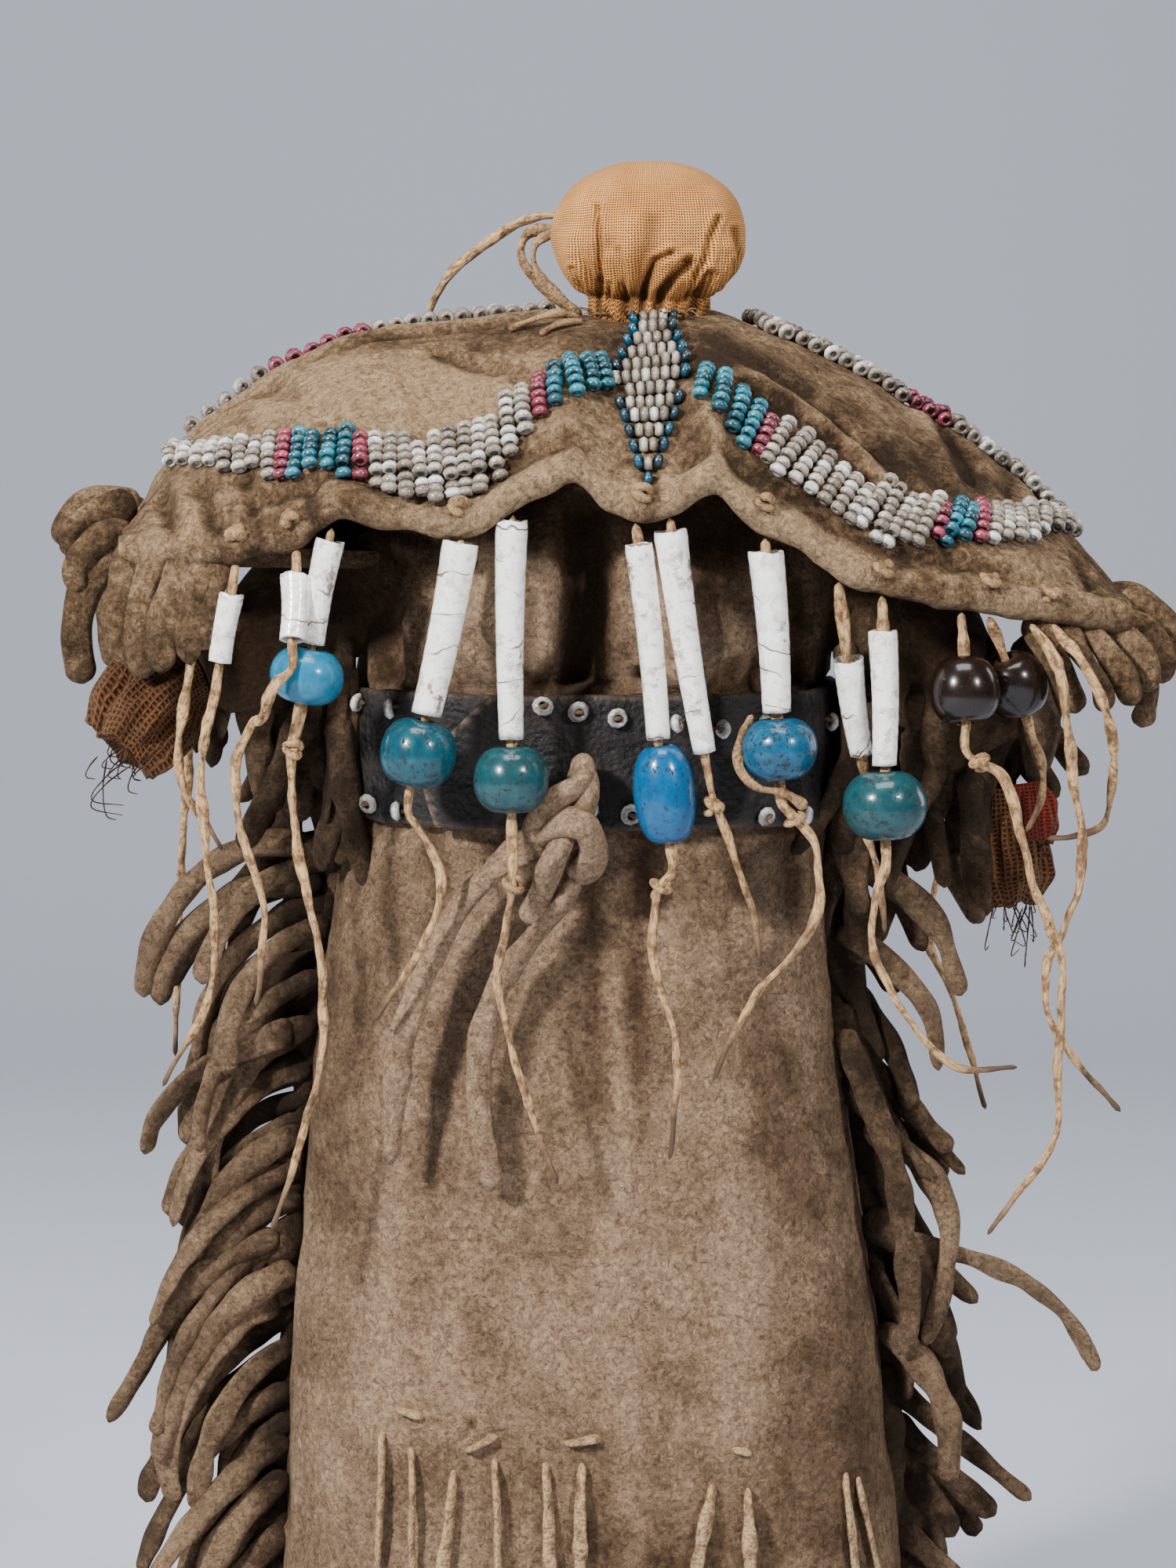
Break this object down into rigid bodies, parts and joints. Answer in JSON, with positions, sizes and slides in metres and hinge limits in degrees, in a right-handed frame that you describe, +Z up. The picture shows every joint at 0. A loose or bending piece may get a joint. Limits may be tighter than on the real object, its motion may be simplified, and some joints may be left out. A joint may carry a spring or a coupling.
{
  "type": "beaded hide doll",
  "caption": "Plains-style hide doll with a plain cloth head, a fringed yoke worked in pony beads, dentalium shells and glass beads on thongs, a black belt and a stuffed hide skirt.",
  "frame": {"origin": "middle of the flat hem's underside, where the doll stands", "axes": "+Z up to the head, -Y out of the front, +X towards the right of the picture"},
  "size_m": [0.1989, 0.0957, 0.3039],
  "materials": {
    "smoked_hide": "brushed",
    "sooty_hide": "brushed",
    "dark_fringe_hide": "brushed",
    "rawhide_thong": "satin",
    "ochre_cotton": "matte",
    "rust_cloth": "matte",
    "black_leather": "satin",
    "ivory_shell": "satin",
    "pale_pony_beads": "gloss",
    "blue_glass": "gloss",
    "brown_glass": "gloss"
  },
  "bodies": {
    "root": {"back_thong_left": "rawhide_thong", "back_thong_right": "rawhide_thong", "bead_bright_blue": "blue_glass", "bead_brown_left": "brown_glass", "bead_brown_right": "brown_glass", "bead_dark_teal": "blue_glass", "bead_light_blue": "blue_glass", "bead_teal_left": "blue_glass", "bead_teal_middle": "blue_glass", "bead_teal_right": "blue_glass", "beadwork_back_left": "pale_pony_beads", "beadwork_back_right": "pale_pony_beads", "beadwork_front_left": "pale_pony_beads", "beadwork_front_right": "pale_pony_beads", "belt": "black_leather", "belt_tie_knot": "smoked_hide", "belt_tie_tail_left": "smoked_hide", "belt_tie_tail_right": "smoked_hide", "centre_beadwork": "pale_pony_beads", "cloth_hand_left": "rust_cloth", "cloth_hand_right": "rust_cloth", "dress": "smoked_hide", "head": "ochre_cotton", "neck_thong_arc": "rawhide_thong", "neck_thong_loop": "rawhide_thong", "shell_inner_left": "ivory_shell", "shell_inner_right": "ivory_shell", "shell_left_outer": "ivory_shell", "shell_middle": "ivory_shell", "shell_middle_left": "ivory_shell", "shell_middle_right": "ivory_shell", "shell_pair_left_a": "ivory_shell", "shell_pair_left_b": "ivory_shell", "shell_pair_right_a": "ivory_shell", "shell_pair_right_b": "ivory_shell", "side_fringe_left": "dark_fringe_hide", "side_fringe_right": "dark_fringe_hide", "thong_brown_bead_a": "rawhide_thong", "thong_brown_bead_b": "rawhide_thong", "thong_inner_left": "rawhide_thong", "thong_inner_right": "rawhide_thong", "thong_left_outer": "rawhide_thong", "thong_left_short": "rawhide_thong", "thong_middle": "rawhide_thong", "thong_middle_left": "rawhide_thong", "thong_middle_right": "rawhide_thong", "thong_pair_left_a": "rawhide_thong", "thong_pair_left_b": "rawhide_thong", "thong_pair_right_a": "rawhide_thong", "thong_pair_right_b": "rawhide_thong", "thong_right_long": "rawhide_thong", "thong_right_outer": "rawhide_thong", "yoke": "sooty_hide"}
  },
  "joints": []
}
